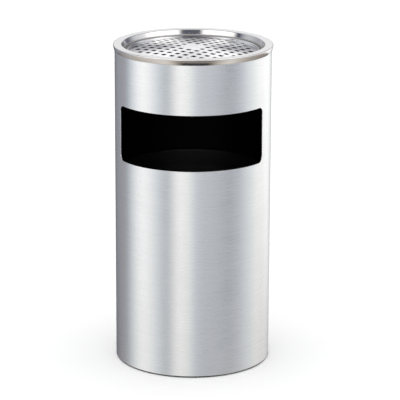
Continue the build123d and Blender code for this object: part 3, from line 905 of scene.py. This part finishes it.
class BIN_OT_bail(bpy.types.Operator):
    """Wire bail with its upset ends"""

    bl_idname = "bin.bail"
    bl_label = "Bail"

    WIRE = 2.5
    HEAD = 4.0
    BEND = 4.0

    def execute(self, context):
        """Tube round a flat path: pin, bend and half of the great arc, and the same mirrored.

        The tube's profile gives its radius by the distance along the path, so the upset heads are part
        of it. Points are the path's place plus radius * (side cos t + up sin t).
        """
        low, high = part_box("bail_handle")
        end, height = high.x / MM, low.z / MM + self.HEAD
        arc = RIM_WIRE_CIRCLE
        bend_x = math.sqrt((arc + self.BEND) ** 2 - self.BEND ** 2)
        touch = math.atan2(self.BEND, bend_x)
        bend_turn = math.pi / 2 - touch
        pin, bend, half_arc = end - bend_x, self.BEND * bend_turn, arc * (math.pi / 2 - touch)
        half_length = pin + bend + half_arc
        corners = [(0.0, 0.0), (self.HEAD, 0.0), (self.HEAD, 2.0), (self.WIRE, 2.0), (self.WIRE, pin)]
        places, normals = round_corners(corners, [0, 0.6, 0.4, 0.2, 0], False)
        normals = -normals
        run = np.concatenate([np.linspace(pin, pin + bend, 9)[1:],
                              np.linspace(pin + bend, half_length, 97)[1:]])
        radius = np.concatenate([places[:, 0], np.full(len(run), self.WIRE)])
        station = np.concatenate([places[:, 1], run])
        lean = np.concatenate([normals, np.tile([1.0, 0.0], (len(run), 1))])
        on_bend = np.clip(station - pin, 0.0, bend) / self.BEND
        on_arc = np.maximum(station - pin - bend, 0.0) / arc
        heading = math.pi + on_bend - on_arc
        straight = np.minimum(station, pin)
        x = end - straight - self.BEND * np.sin(on_bend)
        y = -self.BEND + self.BEND * np.cos(on_bend)
        past = on_arc > 0
        swing = -touch - on_arc
        x, y = np.where(past, arc * np.cos(swing), x), np.where(past, arc * np.sin(swing), y)
        x = np.concatenate([x, -x[-2::-1]])
        y = np.concatenate([y, y[-2::-1]])
        heading = np.concatenate([heading, math.pi * 2 - heading[-2::-1]])
        radius = np.concatenate([radius, radius[-2::-1]])
        lean = np.concatenate([lean, lean[-2::-1] * [1, -1]])
        around = np.linspace(0.0, 2 * math.pi, 16, endpoint=False)
        side = np.stack([-np.sin(heading), np.cos(heading), 0 * heading], -1)
        ahead = np.stack([np.cos(heading), np.sin(heading), 0 * heading], -1)
        spoke = (side[:, None] * np.cos(around)[None, :, None]
                 + np.array([0, 0, 1.0])[None, None] * np.sin(around)[None, :, None])
        points = np.stack([x, y, np.full(len(x), height)], -1)[:, None] + radius[:, None, None] * spoke
        outward = spoke * lean[:, None, :1] + ahead[:, None] * lean[:, None, 1:]
        faces = grid_faces(len(x), len(around), False, True)[:, ::-1]
        surface = points.reshape(-1, 3), outward.reshape(-1, 3), faces
        coat = finish("black dipped wire", black_wire_coat)
        make_piece("bail_wire", surface, coat, "bail", "black_wire", "bail_handle")
        return {"FINISHED"}


# Colours of the studio by azimuth in degrees from the front towards +X, as the shell shows them:
# strip lights with dark gaps between them
STUDIO_BANDS = ((-180, "#4F505A"), (-170, "#3D3D45"), (-160, "#6B6C70"), (-140, "#898B94"),
                (-118, "#94949A"), (-108, "#A9B1BA"), (-86, "#F6F9FB"), (-67, "#F2F4F5"), (-50, "#C4CCD3"),
                (-34, "#A9B0B6"), (-19, "#F7F7F8"), (-2, "#ECF1EF"), (7, "#CBCFD8"), (16, "#BDC2C9"),
                (31, "#B0B5BE"), (47, "#969DA7"), (63, "#9097A1"), (82, "#BFC5CD"), (103, "#ECF2F2"),
                (118, "#FFFFFF"), (148, "#F6F7F7"), (170, "#AAAAAA"))
# Overhead panels by azimuth, as the tray shows them: white in front, grey to the sides and behind
STUDIO_PANELS = ((-180, "#E0E0E2"), (-160, "#D0D0D4"), (-140, "#A0A2A8"), (-104, "#A8AAAE"), (-94, "#84868E"),
                 (-84, "#4C4E56"), (-76, "#F0F0F0"), (-20, "#FFFFFF"), (88, "#FFFFFF"), (98, "#D0D0D4"),
                 (125, "#A8AAB0"), (142, "#60626C"), (160, "#A8AAAE"), (168, "#D0D0D4"))
# Low warm reflectors by azimuth, as the tray's skirt shows them: black behind
STUDIO_LOW = ((-180, "#000000"), (-164, "#141414"), (-140, "#848080"), (-116, "#ACA8A6"), (-95, "#BCB6B0"),
              (-64, "#D4CEC8"), (-39, "#DED8D0"), (-24, "#A8A098"), (2, "#948C84"), (36, "#ACA49A"),
              (60, "#DEDAD4"), (78, "#CEC8C2"), (97, "#AEA8A2"), (122, "#989088"), (145, "#827E78"),
              (160, "#201E1C"))

GAP_AZIMUTH = math.radians(7)  # middle of the dark gap over the camera


class BIN_OT_studio(bpy.types.Operator):
    """Pale floor, soft surrounding light with upright strips, and the camera"""

    bl_idname = "bin.studio"
    bl_label = "Studio"

    FLOOR = 8  # metres from the middle to each side

    def floor(self):
        mesh = bpy.data.meshes.new("studio_floor")
        corners = [(x * self.FLOOR, y * self.FLOOR, 0) for x, y in ((-1, -1), (1, -1), (1, 1), (-1, 1))]
        mesh.from_pydata(corners, [], [(0, 1, 2, 3)])
        material, tree = new_material("matt white studio board")
        cloud = cells(tree, (400, 400, 400), 2.0)
        white = add(tree, "Mix", {0: cloud, 6: (0.9, 0.9, 0.9, 1), 7: (0.93, 0.93, 0.93, 1)}, 2, **COLOURED)
        shade(material, {"Base Color": white, "Roughness": 0.9, "Specular IOR Level": 0.0})
        mesh.materials.append(material)
        floor = bpy.data.objects.new("studio_floor", mesh)
        bpy.context.scene.collection.objects.link(floor)
        floor.visible_glossy = False

    def ramp(self, tree, share, stops):
        """Colour by azimuth through the given stops, joined up behind."""
        colours = add(tree, "ValToRGB", (share,))
        elements = colours.node.color_ramp.elements
        colours.node.color_ramp.interpolation = "CARDINAL"
        stops = [*stops, (180, stops[0][1])]
        while len(elements) < len(stops):
            elements.new(0.5)
        for element, (degrees, code) in zip(elements, stops):
            element.position = (degrees + 180) / 360
            element.color = (*linear(code), 1)
        return colours

    def light(self):
        """Surrounding light. Reflections see upright strips near the horizon, panels above with a dark gap
        over the camera, and dark low down. The floor gets an overhead light, and the camera sees white.
        Heights are sines of the elevation."""
        world = bpy.data.worlds.new("soft studio")
        bpy.context.scene.world = world
        world.use_nodes = True
        tree = world.node_tree
        tree.nodes.clear()
        aim = add(tree, "TexCoord", {}, "Generated")
        x, y, z = add(tree, "SeparateXYZ", (aim,)).node.outputs
        front = add(tree, "Math", (y, -1.0), **TIMES)
        azimuth = add(tree, "Math", (x, front), operation="ARCTAN2")
        share = add(tree, "MapRange", (azimuth, -math.pi, math.pi, 0.0, 1.0))

        def over(first, *layers):
            """Colours laid over the first, each through its own mask."""
            for through, laid in layers:
                laid = (*linear(laid), 1) if isinstance(laid, str) else laid
                first = add(tree, "Mix", {0: through, 6: first, 7: laid}, 2, **COLOURED)
            return first

        grade = add(tree, "MapRange", (z, -0.4, -0.1, 1.12, 1.48))
        strips = add(tree, "VectorMath", {0: self.ramp(tree, share, STUDIO_BANDS), "Scale": grade},
                     operation="SCALE")
        rise = add(tree, "MapRange", (z, 0.21, 0.35, 1.2, 1.45))
        panels = add(tree, "VectorMath", {0: self.ramp(tree, share, STUDIO_PANELS), "Scale": rise},
                     operation="SCALE")
        off = add(tree, "Math", (azimuth, GAP_AZIMUTH), operation="SUBTRACT")
        off = add(tree, "Math", (off,), operation="ABSOLUTE")
        gap = mask(tree, (off, math.radians(17), math.radians(27), 1.0, 0.0), (z, 0.52, 0.6, 0.0, 1.0),
                   (z, 0.8, 0.86, 1.0, 0.0))
        zenith = mask(tree, (z, 0.86, 0.93, 0.0, 1.0))
        panels = over(panels, (gap, "#4A4E5A"), (zenith, "#8E9096"))
        behind = mask(tree, (front, -0.85, -0.95, 0.0, 1.0), (z, -0.1, -0.05, 0.0, 1.0),
                      (z, 0.06, 0.14, 1.0, 0.0))
        seen = over(strips, (mask(tree, (z, 0.05, 0.12, 0.0, 1.0)), panels), (behind, "#50505A"))
        near = off, math.radians(20), math.radians(34), 1.0, 0.0
        low = over(self.ramp(tree, share, STUDIO_LOW),
                   (mask(tree, near, (z, -0.515, -0.545, 1.0, 0.0)), "#5A5450"),
                   (mask(tree, near, (z, -0.61, -0.64, 0.0, 1.0)), "#2A2C34"),
                   (mask(tree, (z, -0.84, -0.9, 0.0, 1.0)), "#5A5A5C"))
        top = add(tree, "MapRange", (front, 0.8, -0.6, -0.45, -0.325))
        bottom = add(tree, "MapRange", (front, 0.8, -0.6, -0.48, -0.345))
        path = add(tree, "LightPath", {}).node.outputs
        overhead = add(tree, "MapRange", (z, 0.35, 0.95, 0.25, 2.0))
        seen = over(seen, (mask(tree, (z, top, bottom, 0.0, 1.0)), low))
        colour = over(overhead, (path["Is Glossy Ray"], seen), (path["Is Camera Ray"], "#FFFFFF"))
        background = add(tree, "Background", {"Color": colour, "Strength": 1.0})
        add(tree, "OutputWorld", {"Surface": background})

    def camera(self):
        """Camera 4 m from the axis and 1.43 m up, aimed down at the bin's middle with a long lens."""
        around, height, distance = math.radians(2.523), 1.4304, 4.0
        heading, pitch, roll = math.radians(0.1977) - around, math.radians(15.7017), math.radians(0.228)
        ahead = np.array([math.sin(heading) * math.cos(pitch), math.cos(heading) * math.cos(pitch),
                          -math.sin(pitch)])
        right = np.array([math.cos(heading), -math.sin(heading), 0.0])
        up = np.cross(right, ahead)
        right, up = (math.cos(roll) * right + math.sin(roll) * up,
                     math.cos(roll) * up - math.sin(roll) * right)
        data = bpy.data.cameras.new("studio_camera")
        data.sensor_width = 36.0
        data.lens = 196.37
        camera = bpy.data.objects.new("studio_camera", data)
        bpy.context.scene.collection.objects.link(camera)
        turn = Matrix(np.stack([right, up, -ahead], 1).tolist()).to_4x4()
        place = Matrix.Translation((distance * math.sin(around), -distance * math.cos(around), height))
        camera.matrix_world = place @ turn
        bpy.context.scene.camera = camera

    def execute(self, context):
        self.floor()
        self.light()
        self.camera()
        context.scene.view_settings.view_transform = "Standard"
        return {"FINISHED"}


class BIN_PT_panel(bpy.types.Panel):
    """Lists the bin's pieces and their settings"""

    bl_idname = "BIN_PT_panel"
    bl_label = "Ashtray bin"
    bl_space_type = "VIEW_3D"
    bl_region_type = "UI"
    bl_category = "Bin"

    def draw(self, context):
        for operator in OPERATORS:
            self.layout.operator(operator.bl_idname)
        for group in (context.scene.bin_sizes, context.scene.bin_colours):
            for name in group.__annotations__:
                self.layout.prop(group, name)


OPERATORS = (BIN_OT_shell, BIN_OT_base, BIN_OT_feet, BIN_OT_tray, BIN_OT_sieve, BIN_OT_bucket, BIN_OT_bail,
             BIN_OT_studio)
CLASSES = (BinSizes, BinColours, *OPERATORS, BIN_PT_panel)


def register():
    for item in CLASSES:
        bpy.utils.register_class(item)
    bpy.types.Scene.bin_sizes = bpy.props.PointerProperty(type=BinSizes)
    bpy.types.Scene.bin_colours = bpy.props.PointerProperty(type=BinColours)


def unregister():
    del bpy.types.Scene.bin_colours
    del bpy.types.Scene.bin_sizes
    for item in reversed(CLASSES):
        bpy.utils.unregister_class(item)


def main():
    """Builds every piece and the studio."""
    register()
    for operator in OPERATORS:
        group, name = operator.bl_idname.split(".")
        getattr(getattr(bpy.ops, group), name)()


if __name__ == "__main__":
    main()
